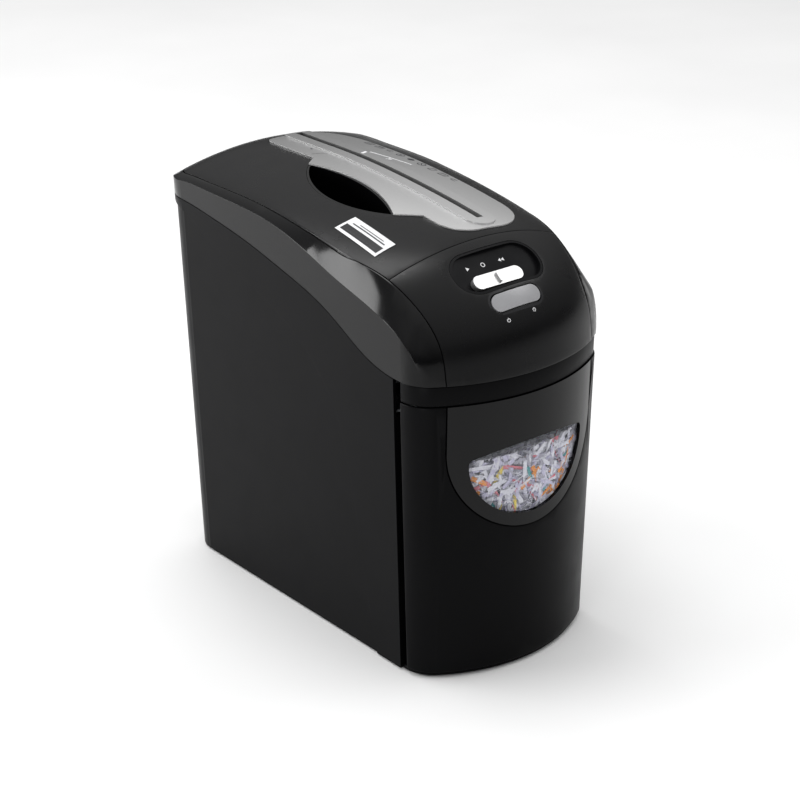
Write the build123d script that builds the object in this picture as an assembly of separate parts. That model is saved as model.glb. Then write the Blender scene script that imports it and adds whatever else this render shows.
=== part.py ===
# Paper shredder with a pull-out bin: a moulded cabinet, a sculpted head and a cross-cut drive train.
# Millimetres, +Z up, front towards -Y. The origin is at the middle of the footprint, on the floor.
import os
from math import asin, atan2, cos, degrees, hypot, pi, radians, sin, sqrt

from build123d import *

os.makedirs("parts", exist_ok=True)

# Outer shape.
half_width = 89.5        # side wall from the middle plane, at the band's top
side_draft = 0.019       # the walls lean out by this much per millimetre of height
rear_y = 170.8
rear_draft = 0.0193
front_draft = 0.0197
rear_radius = 31.0
corner_y = -128.0        # where the side walls end and the front corners start
front_radius = 27.4
front_bulge = 18.2       # how far the front bows out between its corners
band_top = 239.0         # the head starts here at the front
band_bottom = 223.5      # the bin's front ends here
shell_bottom = 1.5
wall = 2.8
crease_x = 84.0          # the top cover's edge from the middle plane
crease_front_x = 70.0    # the same edge, where it comes down the front
crown_rear = 12.5        # rise of the top cover's middle over its edges
crown_front = 8.0
# the top cover's edge in side view, from the rear to the front
edge_profile = [(188, 296), (171.5, 314), (150, 324.5), (124, 326.5), (60, 326.5), (8, 323.5), (-48, 317),
                (-79, 312), (-105, 305.5), (-123, 295.5), (-141, 277.5), (-151.5, 258), (-154.5, 242),
                (-160, 222)]
# the seam between the cabinet and the head's shoulders, in side view
seam_profile = [(200, 307), (168, 307.5), (140, 307), (97, 302), (49, 294), (11, 285), (-41, 269.5),
                (-66, 257), (-90, 245.5), (-112, 240), (-128, band_top)]
# the shoulders lean in from a lower edge on the wall to the crease. Along the sides: y, then x and z of
# the crease and of the lower edge. Round the front corners: angle, then radius and z of the same two.
shoulder_sides = [(215, 84.3, 276, 90.8, 272), (185, 84.3, 304, 90.8, 300), (150, 84.3, 325, 90.8, 321),
                  (105, 84.3, 327, 90.8, 323), (60, 84.3, 326.8, 90.8, 322), (25, 84, 324.6, 90.6, 319.5),
                  (-14, 83.7, 320.6, 90.4, 311), (-52, 83, 316.6, 90.2, 299), (-89, 81.2, 310, 90, 289),
                  (-112, 78.6, 300.5, 89.9, 281)]
shoulder_corner = [(5, 15.0, 289, 27.8, 271), (24, 15.3, 283.3, 27.6, 262), (45, 18.3, 276, 27.6, 253),
                   (62, 23.3, 264, 27.6, 246), (73, 28.2, 249, 30.5, 239), (84, 33, 246, 37, 236)]
# the cabinet's sides step in behind this line, in side view
accent_step = 1.5
accent_profile = [(220, 304), (120, 290), (67, 266), (13, 246), (-31, 215), (-53, 184), (-64, 147),
                  (-72, 101), (-80, 53), (-91, 0), (-95, -20)]
seam_gap = 0.6           # between neighbouring mouldings
console_seam_y = -101.0
console_seam_bow = 6.0
band_step = 1.0          # the front band lies this much behind the mouldings around it

# Cabinet and bin.
floor_thickness = 3.0
foot_radius, foot_x, foot_y = 8.0, 58.0, 118.0
groove_y = -119.0        # the cabinet's side walls end here, at the grip groove
groove_flange = 2.5      # thickness of the return that closes the groove
panel_y = -126.0         # the bin's front panel wraps round to here
panel_bottom = 5.0
tub_x, tub_rear, tub_bottom, tub_top, tub_wall = 76.0, 148.0, 8.3, 203.0, 2.0
pad_width, pad_height = 12.0, 10.0             # spacers between the tub and the bin's front
pad_spots = [(-45, 26), (45, 26), (-45, 102), (45, 102), (-30, 196), (30, 196)]
runner_x, runner_width, runner_front = 62.0, 6.0, -145.0
magnet_size = (10.0, 3.0, 7.0)
slide_clearance = 0.3
window_x, window_top, window_crown, window_bottom = 54.5, 179.0, 7.5, 127.5
window_corner = 5.0
shield_x, shield_bottom, shield_straight = 69.5, 117.0, 186.0
pane_thickness, pane_lap = 1.2, 3.0
pane_gap = 0.05          # between the pane and what holds it
paper_back, paper_top, paper_foot = -72.0, 176.0, -20.0
paper_gap = 0.4

# Deck and end plates.
deck_bottom, deck_thickness, deck_x, deck_front, deck_rear = 208.5, 2.5, 83.5, -113.0, 166.0
ledge_height, ledge_width, ledge_rear = 3.0, 5.0, 150.0
post_x, post_y, post_radius = 60.0, -108.0, 5.0
flange_thickness = 2.5
cutter_x = 20.0          # middle of the paper slot and of the cutter pair
shaft_spacing, shaft_z = 37.0, 252.0
slot_front, slot_rear, slot_width = -86.0, 136.0, 6.0
plate_thickness, plate_top = 3.0, 286.0
front_plate_y, rear_plate_y = -95.0, 141.0     # their faces towards the cutters
plate_left, plate_right = -80.0, 72.0
chute_half_width = 34.0
disc_radius, disc_thickness, disc_pitch, core_radius = 20.0, 4.0, 10.0, 12.0
disc_margin = 5.0        # from the front end plate to the first disc
disc_teeth, disc_tooth_depth, disc_twist = 4, 3.0, 17.0
journal_radius, bush_radius, running_gap = 6.0, 9.0, 0.05
core_gap = 0.5           # between the drums' cores and the end plates
rod_radius, rod_left, rod_right, rod_low, rod_high = 3.0, -67.0, 65.0, 218.0, 279.0
comb_x, comb_thickness, comb_height, finger_height = 44.5, 5.0, 10.0, 7.0
comb_clearance = 2.0     # from a finger to the drum's core
sync_teeth, sync_module = 20, 1.85
main_teeth, small_teeth, main_module = 36, 12, 1.5
big_teeth, pinion_teeth, big_module = 48, 12, 1.25
gear_width, gear_gap = 4.5, 1.8
motor_x, motor_z, motor_radius, motor_length, motor_wall = -52.0, 247.0, 24.0, 78.0, 2.0
rotor_radius, rotor_end_gap, rotor_shaft_radius, axle_radius = 18.0, 7.0, 3.0, 3.0
throat_wall, throat_bottom = 1.6, 271.0
flap_y, flap_width, flap_x, flap_z, flap_reach = 20.0, 3.0, 33.0, 282.0, 14.5
flap_pin_radius, flap_thickness, ear_width, ear_height = 1.2, 2.4, 2.0, 8.0
cover_posts = [(-76, -60), (76, -60), (-76, 50), (76, 120)]
cover_post_radius = 4.0
post_gap = 0.05          # from the posts to the top cover
gland_x, gland_z, gland_radius, gland_bore = 50.0, 226.0, 7.0, 3.5
vent_spots = [-72 + 7 * n for n in range(8)]
vent_low, vent_high, vent_width = 232.0, 268.0, 3.0
power_x, power_y, power_size = -46.0, -25.0, (30.0, 96.0)
power_parts = [(0, -28, 24, 30, 26), (5, 8, 16, 14, 16), (-9, 8, 8, 14, 11), (0, 32, 20, 12, 12)]

# Entry plate, grip, console.
entry_left, entry_right, entry_front, entry_rear = -10.0, 63.0, -99.0, 139.0
entry_corner = 38.0
entry_proud, entry_sink = 0.9, 0.9
fit_gap = 0.3            # round everything let into the head
rib_half_width, rib_height = 13.0, 1.2
grip_rear, grip_front = (-21.0, 68.0), (-30.0, -47.0)
grip_left, grip_right = (-49.0, 5.0), (-13.0, 14.0)
grip_depth, cup_wall = 30.0, 2.0
label_centre, label_size, label_turn = (-62.0, -54.0), (19.0, 50.0), -2.5
label_thickness = 0.3
console_tilt = 40.0      # of the pocket, the switch and the lens, about X
pocket_spot, pocket_size, pocket_depth = (-3.0, -132.5), (79.0, 37.0), 7.0
switch_offset, switch_size, switch_height, switch_travel = (-5.0, -8.5), (45.0, 11.0), 4.5, 4.0
lens_spot, lens_size, lens_thickness = (-5.0, -155.8), (43.0, 13.0), 2.0
lens_gap = 0.8           # round the lens
board_width, board_thickness, board_above, board_below = 60.0, 1.6, 12.0, 6.0
led_spots, led_radius, led_height = (-9.0, 0.0, 9.0), 1.5, 3.0
screw_radius, screw_head_radius, screw_head = 1.5, 3.0, 1.8


def pieces(shape):
    """Every solid in a shape or a list of shapes."""
    members = shape if isinstance(shape, list) else [shape]
    return [s for m in members for s in m.solids() if s.volume > 1.0]


def whole(shape):
    """The biggest solid in a shape or a list of shapes."""
    return max(pieces(shape), key=lambda s: s.volume)


def cut(shape, *tools):
    return whole(shape.cut(*tools))


def common(shape, *others):
    for other in others:
        shape = whole(shape.intersect(other))
    return shape


def join(shape, *others):
    return whole(shape.fuse(*others))


def box(x0, x1, y0, y1, z0, z1):
    return Solid.make_box(x1 - x0, y1 - y0, z1 - z0, Plane((x0, y0, z0)))


def rod(radius, start, end):
    """A cylinder between two points."""
    a, b = Vector(*start), Vector(*end)
    return Solid.make_cylinder(radius, (b - a).length, Plane(a, z_dir=(b - a).normalized()))


def tube(radius, bore, start, end):
    return cut(rod(radius, start, end), rod(bore, start, end))


def prism_x(points, x0, x1, closed_with):
    """A solid along X whose side view is a smooth curve through points, closed by straight lines."""
    curve = Edge.make_spline([Vector(x0, y, z) for y, z in points])
    ends = [Vector(x0, *points[-1])] + [Vector(x0, y, z) for y, z in closed_with] + [Vector(x0, *points[0])]
    lines = [Edge.make_line(a, b) for a, b in zip(ends, ends[1:])]
    return Solid.extrude(Face(Wire([curve, *lines])), Vector(x1 - x0, 0, 0))


# The outer body.
def plan(z, inset):
    """The body's outline at height z, moved inwards by inset."""
    w = half_width - side_draft * (band_top - z) - inset
    rear = rear_y - rear_draft * (band_top - z) - inset
    start = corner_y + front_draft * (band_top - z)
    r, rr = front_radius - inset, rear_radius - inset
    k = w - r
    rho = (k * k + front_bulge**2) / (2 * front_bulge)
    turn = asin(k / rho)
    big = rho + r
    middle = start + rho - front_bulge
    meet = (big * sin(turn), middle - big * cos(turn))
    half = (pi / 2 - turn) / 2
    elbow = (k + r * cos(half), start - r * sin(half))
    with BuildLine(Plane.XY.offset(z)) as outline:
        Line((-w, start), (-w, rear - rr))
        RadiusArc((-w, rear - rr), (-w + rr, rear), rr)
        Line((-w + rr, rear), (w - rr, rear))
        RadiusArc((w - rr, rear), (w, rear - rr), rr)
        Line((w, rear - rr), (w, start))
        ThreePointArc((w, start), elbow, meet)
        ThreePointArc(meet, (0, middle - big), (-meet[0], meet[1]))
        ThreePointArc((-meet[0], meet[1]), (-elbow[0], elbow[1]), (-w, start))
    return outline.wires()[0]


def walls(inset, low=shell_bottom, high=352.0):
    return Solid.make_loft([plan(low, inset), plan(high, inset)], True)


def ease(t):
    t = min(1.0, max(0.0, t))
    return t * t * (3 - 2 * t)


def bow(x):
    """How far the front's bow lies behind its tip at x."""
    k = half_width - front_radius
    big = (k * k + front_bulge**2) / (2 * front_bulge) + front_radius
    return big - sqrt(big * big - min(abs(x), 100.0) ** 2)


def top_point(edge_point, x):
    """A point of the top surface at x, from the edge profile's point."""
    y, z = edge_point
    forward = (bow(crease_front_x) - bow(x)) * ease((60 - y) / 190)
    crown = crown_front + (crown_rear - crown_front) * ease((y + 125) / 50)
    lift = crown * (1 - (x / crease_x) ** 2) * min(1.0, max(0.0, (z - 222) / 30))
    return Vector(x, y - forward, z + lift)


def top_surface(across=11, along=34):
    curve = Edge.make_spline([Vector(0, y, z) for y, z in edge_profile])
    spots = [curve.position_at(i / (along - 1)) for i in range(along)]
    rows = [[top_point((p.Y, p.Z), -102 + 204 * j / (across - 1)) for p in spots] for j in range(across)]
    return Face.make_surface_from_array_of_points(rows, tol=0.05, min_deg=3, max_deg=5)


TOP = top_surface()
TOP_DIRECTION = Vector(0, -54, 120)


def above_top(drop):
    """Everything above the top surface after it is lowered by drop."""
    return Solid.extrude(TOP.moved(Location((0, drop * 0.25, -drop))), TOP_DIRECTION)


def shoulder_section(origin, out, crease, low, inset):
    """The space outside a shoulder in one upright plane: out is the way outwards on the floor."""
    c, w = Vector(crease[0] - inset, crease[1]), Vector(low[0] - inset, low[1])
    lean = (c - w).normalized()
    corners = [c + lean * 22, w - lean * 14, w + Vector(60, -6), c + Vector(60, 60)]
    points = [origin + out * p.X + Vector(0, 0, p.Y) for p in corners]
    return Wire.make_polygon(points)


def shoulder_cuts(inset):
    """What lies outside the two shoulders, moved inwards by inset."""
    sections = [shoulder_section(Vector(0, y, 0), Vector(1, 0, 0), (cx, cz), (wx, wz), inset)
                for y, cx, cz, wx, wz in shoulder_sides]
    corner = Vector(half_width - front_radius, corner_y, 0)
    for turn, cr, cz, wr, wz in shoulder_corner:
        out = Vector(cos(radians(turn)), -sin(radians(turn)), 0)
        sections.append(shoulder_section(corner, out, (cr, cz), (wr, wz), inset))
    right = Solid.make_loft(sections)
    return [right, right.mirror(Plane.YZ)]


def body(inset=0.0, drop=0.0, low=shell_bottom):
    """The whole outer body as one solid, moved inwards by inset and lowered by drop."""
    return cut(walls(inset, low), above_top(drop), *shoulder_cuts(inset))


def flat_prism(face, low, high):
    """A face drawn on the floor, drawn out from low to high."""
    return Solid.extrude(face.moved(Location((0, 0, low))), Vector(0, 0, high - low))


def centre_zone(gap):
    """The middle of the head, inside the crease line."""
    x, front = crease_x - gap, crease_front_x - gap
    rear = rear_y - wall - 6.0 - gap
    with BuildSketch() as zone:
        with BuildLine():
            right = Spline((x, -50), (x - 3.5, -88), (front + 4, -128), (front, -158),
                           tangents=[(0, -1), (0, -1)])
            Line((front, -158), (front, -230))
            Line((front, -230), (-front, -230))
            Line((-front, -230), (-front, -158))
            mirror(right, Plane.YZ)
            Line((-x, -50), (-x, rear - 22))
            RadiusArc((-x, rear - 22), (-x + 22, rear), 22)
            Line((-x + 22, rear), (x - 22, rear))
            RadiusArc((x - 22, rear), (x, rear - 22), 22)
            Line((x, rear - 22), (x, -50))
        make_face()
    return flat_prism(zone.sketch.face(), 200, 400)


def behind_console_seam(shift):
    with BuildSketch() as zone:
        with BuildLine():
            ThreePointArc((-120, console_seam_y + shift + 6),
                          (0, console_seam_y - console_seam_bow + shift),
                          (120, console_seam_y + shift + 6))
            Line((120, console_seam_y + shift + 6), (120, 230))
            Line((120, 230), (-120, 230))
            Line((-120, 230), (-120, console_seam_y + shift + 6))
        make_face()
    return flat_prism(zone.sketch.face(), 200, 400)


def above_seam(shift):
    profile = [(y, z + shift) for y, z in seam_profile]
    return prism_x(profile, -120, 120, [(-230, band_top + shift), (-230, 420), (200, 420)])


def below_seam(shift):
    profile = [(y, z - shift) for y, z in seam_profile]
    return prism_x(profile, -120, 120, [(-230, band_top - shift), (-230, -30), (200, -30)])


def shield_outline(gap):
    """The U round the window, in the XZ plane of the bin's front."""
    x, low = shield_x - gap, shield_bottom + gap
    with BuildSketch(Plane.XZ) as shape:
        with BuildLine():
            Line((-x, 240), (x, 240))
            Line((x, 240), (x, shield_straight))
            EllipticalCenterArc((0, shield_straight), x, shield_straight - low, 180, arc_size=180)
            Line((-x, shield_straight), (-x, 240))
        make_face()
    return Solid.extrude(shape.sketch.face(), Vector(0, -260, 0))


def window_outline(gap):
    x, low = window_x + gap, window_bottom - gap
    top, middle = window_top + gap, window_top + window_crown + gap
    with BuildSketch(Plane.XZ) as shape:
        with BuildLine():
            ThreePointArc((-x, top), (0, middle), (x, top))
            Line((x, top), (x, top - 4))
            EllipticalCenterArc((0, top - 4), x, top - 4 - low, 180, arc_size=180)
            Line((-x, top - 4), (-x, top))
        make_face()
        fillet(shape.vertices().group_by(Axis.Y)[-1], window_corner)
    return Solid.extrude(shape.sketch.face(), Vector(0, -260, 0))


def entry_outline(gap):
    """The silver plate round the paper slot: its left edge follows the grip."""
    left, right = entry_left - gap, entry_right + gap
    front, rear = entry_front - gap, entry_rear + gap
    rear_spot, front_spot = grip_rear, grip_front
    with BuildSketch() as shape:
        with BuildLine():
            Line((right, front + entry_corner), (right, rear - entry_corner))
            RadiusArc((right, rear - entry_corner), (right - entry_corner, rear), -entry_corner)
            Line((right - entry_corner, rear), (left + 6, rear))
            RadiusArc((left + 6, rear), (left, rear - 6), -6)
            Line((left, rear - 6), (left, rear_spot[1] + 8))
            Line((left, rear_spot[1] + 8), (rear_spot[0] - gap, rear_spot[1]))
            ThreePointArc((rear_spot[0] - gap, rear_spot[1]), (grip_right[0] - gap, grip_right[1]),
                          (front_spot[0] - gap, front_spot[1]))
            Line((front_spot[0] - gap, front_spot[1]), (left - 4, -62))
            Line((left - 4, -62), (left - 4, -76))
            RadiusArc((left - 4, -76), (left + 19, front), -23)
            Line((left + 19, front), (right - entry_corner, front))
            RadiusArc((right - entry_corner, front), (right, front + entry_corner), -entry_corner)
        make_face()
    return shape.sketch.face()


def grip_outline(gap):
    """A leaf between two arcs, beside the entry plate."""
    rear, front = (grip_rear[0], grip_rear[1] + gap), (grip_front[0], grip_front[1] - gap)
    with BuildSketch() as shape:
        with BuildLine():
            ThreePointArc(rear, (grip_left[0] - gap, grip_left[1]), front)
            ThreePointArc(front, (grip_right[0] + gap, grip_right[1]), rear)
        make_face()
    return shape.sketch.face()


def skin(face, above, below):
    """A slab over a plan outline, from above the top surface to below it."""
    block = flat_prism(face, 230, 360)
    return cut(cut(block, above_top(-above)), cut(block, above_top(below)))


def console_plane(spot):
    """A plane on the console's slope at a plan position."""
    x, y = spot
    points = [TOP.position_at(u / 60, 0.5) for u in range(61)]
    other = [TOP.position_at(0.5, u / 60) for u in range(61)]
    line = points if abs(points[0].X) + abs(points[-1].X) < 10 else other
    line = [p for p in line if p.Z > 235]
    near = min(line, key=lambda p: abs(p.Y - y))
    tilt = radians(console_tilt)
    return Plane(origin=(x, near.Y, near.Z), x_dir=(1, 0, 0), z_dir=(0, -sin(tilt), cos(tilt)))


def rounded(plane, width, height, radius, low, high, centre=(0, 0)):
    """A rounded block standing on a plane, between two distances from it."""
    with BuildSketch(plane) as shape:
        with Locations(centre):
            RectangleRounded(width, height, radius)
    return Solid.extrude(shape.sketch.face().moved(Location(plane.z_dir * low)), plane.z_dir * (high - low))


def gear(teeth, module, centre, y, width, phase, bore):
    """A spur gear on an axis along Y. A tooth points at angle phase, in degrees from +X towards +Z."""
    cx, cz = centre
    pitch = teeth * module / 2
    points = []
    for n in range(teeth):
        for share, radius in ((-0.24, pitch - 1.2 * module), (-0.12, pitch + 0.85 * module),
                              (0.12, pitch + 0.85 * module), (0.24, pitch - 1.2 * module)):
            a = radians(phase) + 2 * pi * (n + share) / teeth
            points.append(Vector(cx + radius * cos(a), y, cz + radius * sin(a)))
    blank = Solid.extrude(Face(Wire.make_polygon(points)), Vector(0, width, 0))
    return cut(blank, rod(bore, (cx, y - 1, cz), (cx, y + width + 1, cz)))


def angle_to(start, end):
    return degrees(atan2(end[1] - start[1], end[0] - start[0]))


def screw(at, direction, length):
    """A head and a shank; at is where the head's underside sits."""
    d = Vector(*direction).normalized()
    p = Vector(*at)
    return join(rod(screw_head_radius, p, p + d * screw_head), rod(screw_radius, p - d * length, p))


# Mouldings of the outside.
outer = body()
inner = body(wall, wall, shell_bottom - 1)
shell = cut(outer, inner)
half_gap = seam_gap / 2
head_part = common(shell, above_seam(half_gap))
middle = common(head_part, centre_zone(half_gap))
head_surround = cut(head_part, centre_zone(-half_gap))
top_cover = common(middle, behind_console_seam(half_gap))
console = cut(middle, behind_console_seam(-half_gap))

cabinet_zone = box(-120, 120, groove_y, 200, shell_bottom - 1, 400)
recess = common(cut(walls(-3), walls(accent_step, shell_bottom - 1, 353)),
                prism_x(accent_profile, -120, 120, [(220, -20)]))
cabinet = cut(common(shell, below_seam(half_gap), cabinet_zone), recess)
inside = body(wall - 0.4, wall)
floor_top = shell_bottom + floor_thickness
fittings = [box(-120, 120, -230, 200, shell_bottom, floor_top)]
for side in (-1, 1):
    edges = sorted((side * (tub_x + slide_clearance + 1.2), side * 92))
    fittings.append(box(*edges, groove_y, groove_y + groove_flange, shell_bottom, deck_bottom))
    edges = sorted((side * (deck_x - ledge_width), side * 92))
    fittings.append(box(*edges, groove_y, ledge_rear, deck_bottom - ledge_height, deck_bottom))
vents = [box(x, x + vent_width, 150, 200, vent_low, vent_high) for x in vent_spots]
gland_hole = rod(gland_bore + 1.5, (gland_x, 150, gland_z), (gland_x, 200, gland_z))
cabinet = cut(join(cabinet, *[common(f, inside) for f in fittings]), *vents, gland_hole)

band_low = band_bottom + half_gap
band_zone = box(-120, 120, -230, panel_y, band_low, band_top - half_gap)
band_ring = common(cut(body(band_step), inner), band_zone)
flange_zone = box(-deck_x, deck_x, -230, post_y + post_radius, band_low, band_low + flange_thickness)
drills = [rod(screw_radius, (side * post_x, post_y, band_low - 1), (side * post_x, post_y, band_low + 9))
          for side in (-1, 1)]
front_band = cut(join(band_ring, common(inside, flange_zone)), *drills)

panel_shell = common(shell, box(-120, 120, -230, panel_y, panel_bottom, band_bottom - half_gap))
bin_panel = cut(panel_shell, shield_outline(-half_gap))
window_shield = cut(common(panel_shell, shield_outline(half_gap)), window_outline(0))

pane_shell = cut(walls(wall + pane_gap), walls(wall + pane_gap + pane_thickness, shell_bottom - 1, 353))
window_pane = common(pane_shell, window_outline(pane_lap))

tub_inset = wall + 2 * pane_gap + pane_thickness
tub_space = box(-tub_x, tub_x, -230, tub_rear, tub_bottom, tub_top)
hollow_x = tub_x - tub_wall
hollow_space = box(-hollow_x, hollow_x, -230, tub_rear - tub_wall, tub_bottom + tub_wall, tub_top + 5)
hollow = common(walls(tub_inset + tub_wall), hollow_space)
bin_tub = cut(common(walls(tub_inset), tub_space), hollow, window_outline(pane_lap + 1))
spacer = cut(walls(wall), walls(tub_inset, shell_bottom - 1, 353))
pads = []
for x, z in pad_spots:
    spot = box(x - pad_width / 2, x + pad_width / 2, -230, -100, z - pad_height / 2, z + pad_height / 2)
    pads.append(common(spacer, spot))
for side in (-1, 1):
    x = side * runner_x
    pads.append(box(x - runner_width / 2, x + runner_width / 2, runner_front, tub_rear - 2,
                    floor_top + running_gap, tub_bottom))
bin_tub = join(bin_tub, *pads)

paper_x = hollow_x - paper_gap
paper_space = box(-paper_x, paper_x, -230, 0, tub_bottom + tub_wall + 0.05, paper_top)
paper_side = [(-230, paper_top), (paper_back, paper_top - 6), (paper_foot, 0), (-230, 0)]
paper_face = Face(Wire.make_polygon([Vector(-90, y, z) for y, z in paper_side]))
paper_block = Solid.extrude(paper_face, Vector(180, 0, 0))
shredded_paper = common(walls(tub_inset + tub_wall + paper_gap), paper_space, paper_block)

# What is let into the head.
entry_face = entry_outline(0)
with BuildSketch() as rib_shape:
    with Locations((cutter_x, (slot_front + slot_rear) / 2)):
        rib_length = slot_rear - slot_front + 2 * rib_half_width - slot_width
        SlotOverall(rib_length, 2 * rib_half_width, rotation=90)
slot_cut = box(cutter_x - slot_width / 2, cutter_x + slot_width / 2, slot_front, slot_rear, 200, 400)
rib = skin((rib_shape.sketch & entry_face).face(), entry_proud + rib_height, entry_sink)
entry_plate = cut(join(skin(entry_face, entry_proud, entry_sink), rib), slot_cut)

throat_x = slot_width / 2 + throat_wall
throat_block = box(cutter_x - throat_x, cutter_x + throat_x, front_plate_y, rear_plate_y,
                   throat_bottom, 360)
entry_throat = cut(throat_block, above_top(entry_sink + fit_gap), slot_cut)

cup_low = TOP.bounding_box().max.Z - grip_depth - 10.0
cup_block = cut(flat_prism(grip_outline(-fit_gap), cup_low, 360), above_top(0.2))
grip_cup = cut(cup_block, flat_prism(grip_outline(-fit_gap - cup_wall), cup_low + cup_wall, 360))

sink = common(flat_prism(entry_outline(fit_gap), 230, 360), above_top(entry_sink + 0.05))
throat_hole = box(cutter_x - throat_x - fit_gap, cutter_x + throat_x + fit_gap, front_plate_y - fit_gap,
                  rear_plate_y + fit_gap, 200, 400)
top_cover = cut(cut(cut(top_cover, sink), throat_hole), flat_prism(grip_outline(0), 230, 360))

with BuildSketch() as label_shape:
    with Locations(Location((*label_centre, 0), (0, 0, label_turn))):
        Rectangle(*label_size)
info_label = skin(label_shape.sketch.face(), label_thickness, 0.0)

pocket_at, lens_at = console_plane(pocket_spot), console_plane(lens_spot)
pocket_width, pocket_height = pocket_size
pocket_radius = pocket_height / 2 - 1
pocket_cut = rounded(pocket_at, pocket_width, pocket_height, pocket_radius, -30, 30)
lens_width, lens_height = lens_size
lens_cut = rounded(lens_at, lens_width + 2 * lens_gap, lens_height + 2 * lens_gap, lens_height / 2, -30, 30)
pocket_block = rounded(pocket_at, pocket_width - 2 * fit_gap, pocket_height - 2 * fit_gap,
                       pocket_radius - fit_gap, -pocket_depth - cup_wall, 20)
rim = fit_gap + cup_wall
pocket_hollow = rounded(pocket_at, pocket_width - 2 * rim, pocket_height - 2 * rim,
                        pocket_radius - rim, -pocket_depth, 30)
stem_slot = rounded(pocket_at, 9 + 2 * switch_travel, 4.0, 1.9, -30, 0, switch_offset)
switch_top = -pocket_depth - cup_wall
board_top = switch_top - 7
board_posts = [rod(2.5, pocket_at.from_local_coords((x, 7, board_top)),
                   pocket_at.from_local_coords((x, 7, switch_top))) for x in (-23, 23)]
pocket_solid = join(cut(pocket_block, above_top(0.2)), *board_posts)
switch_pocket = cut(pocket_solid, pocket_hollow, stem_slot, lens_cut)
knob_low = -pocket_depth + slide_clearance
knob_top = knob_low + switch_height
switch_width, switch_depth = switch_size
knob = rounded(pocket_at, switch_width, switch_depth, switch_depth / 2 - 0.2,
               knob_low, knob_top, switch_offset)
ridge = rounded(pocket_at, 2.4, switch_depth - 3, 1.1, knob_low, knob_top + 2, switch_offset)
stem = rounded(pocket_at, 8, 3.0, 1.4, -pocket_depth - cup_wall - 2, knob_low + 1, switch_offset)
mode_switch = join(knob, ridge, stem)
switch_box = rounded(pocket_at, 26, 9, 1, board_top, switch_top, switch_offset)
switch_body = cut(switch_box, rounded(pocket_at, 18, 4.0, 1.9, switch_top - 2.5, 0, switch_offset))
lens_block = rounded(lens_at, lens_width, lens_height, lens_height / 2 - 0.2, -12, 12)
status_lens = cut(cut(lens_block, above_top(-0.3)), cut(lens_block, above_top(lens_thickness)))
console = cut(console, pocket_cut, lens_cut)

lens_local = pocket_at.to_local_coords(lens_at.origin)
board_low = lens_local.Y - board_below
control_board = rounded(pocket_at, board_width, board_above - board_low, 2,
                        board_top - board_thickness, board_top, (0, (board_above + board_low) / 2))
guide_end = lens_local.Z - lens_thickness - 0.6
leds = []
guides = []
for x in led_spots:
    foot = pocket_at.from_local_coords((x, lens_local.Y, board_top))
    joint = pocket_at.from_local_coords((x, lens_local.Y, board_top + led_height))
    tip = pocket_at.from_local_coords((x, lens_local.Y, guide_end))
    leds.append(rod(led_radius, foot, joint))
    guides.append(rod(led_radius, joint, tip))

# Deck, end plates and drive.
axis_a, axis_b = (cutter_x - shaft_spacing / 2, shaft_z), (cutter_x + shaft_spacing / 2, shaft_z)
deck_top = deck_bottom + deck_thickness
deck_zone = box(-deck_x, deck_x, deck_front, deck_rear, deck_bottom, deck_top)
deck = common(deck_zone, walls(wall + slide_clearance))
chute = box(cutter_x - chute_half_width, cutter_x + chute_half_width, front_plate_y + 3, rear_plate_y - 3,
            deck_bottom - 1, deck_top + 1)
front_posts = [rod(post_radius, (side * post_x, post_y, deck_top), (side * post_x, post_y, band_low))
               for side in (-1, 1)]
deck = cut(deck, chute)
under_cover = [cut(rod(cover_post_radius, (x, y, deck_top), (x, y, 352)), above_top(wall + post_gap))
               for x, y in cover_posts]
deck_posts = front_posts + under_cover

small_pitch = (main_teeth + small_teeth) * main_module / 2
big_pitch = (big_teeth + pinion_teeth) * big_module / 2
motor = (motor_x, motor_z)
apart = hypot(axis_a[0] - motor_x, axis_a[1] - motor_z)
along = (big_pitch**2 - small_pitch**2 + apart**2) / (2 * apart)
rise = sqrt(big_pitch**2 - along**2)
unit = ((axis_a[0] - motor_x) / apart, (axis_a[1] - motor_z) / apart)
idler = (motor_x + along * unit[0] - rise * unit[1], motor_z + along * unit[1] + rise * unit[0])


def end_plate(inner_y, outer_y, holes):
    y0, y1 = sorted((inner_y, outer_y))
    plate = box(plate_left, plate_right, y0, y1, deck_top, plate_top)
    holes = holes + [(x, z, screw_radius) for x in (rod_left, rod_right) for z in (rod_low, rod_high)]
    return cut(plate, *[rod(radius, (x, y0 - 1, z), (x, y1 + 1, z)) for x, z, radius in holes])


front_outer, rear_outer = front_plate_y - plate_thickness, rear_plate_y + plate_thickness
bush_holes = [(*axis, bush_radius) for axis in (axis_a, axis_b)]
front_plate = end_plate(front_plate_y, front_outer, bush_holes)
rear_holes = bush_holes + [(*motor, rotor_shaft_radius + 0.5), (*idler, axle_radius)]
rear_plate = end_plate(rear_plate_y, rear_outer, rear_holes)
bushes = []
for x, z in (axis_a, axis_b):
    bore = journal_radius + running_gap
    bushes.append(tube(bush_radius, bore, (x, front_outer, z), (x, front_plate_y, z)))
    bushes.append(tube(bush_radius, bore, (x, rear_plate_y, z), (x, rear_outer, z)))
tie_rods = [rod(rod_radius, (x, front_plate_y, z), (x, rear_plate_y, z))
            for x in (rod_left, rod_right) for z in (rod_low, rod_high)]

disc_count = int((rear_plate_y - front_plate_y - 2 * disc_margin) // disc_pitch)
layers = [rear_outer + 1.2 + n * (gear_width + gear_gap) for n in range(3)]


def disc(centre, y, turn):
    """A cutter disc with hooked teeth."""
    cx, cz = centre
    points = []
    for n in range(disc_teeth):
        start = radians(turn) + 2 * pi * n / disc_teeth
        for k in range(10):
            a = start + 2 * pi / disc_teeth * k / 10
            r = disc_radius - disc_tooth_depth * min(1.0, k / 3)
            points.append(Vector(cx + r * cos(a), y, cz + r * sin(a)))
    return Solid.extrude(Face(Wire.make_polygon(points)), Vector(0, disc_thickness, 0))


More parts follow.
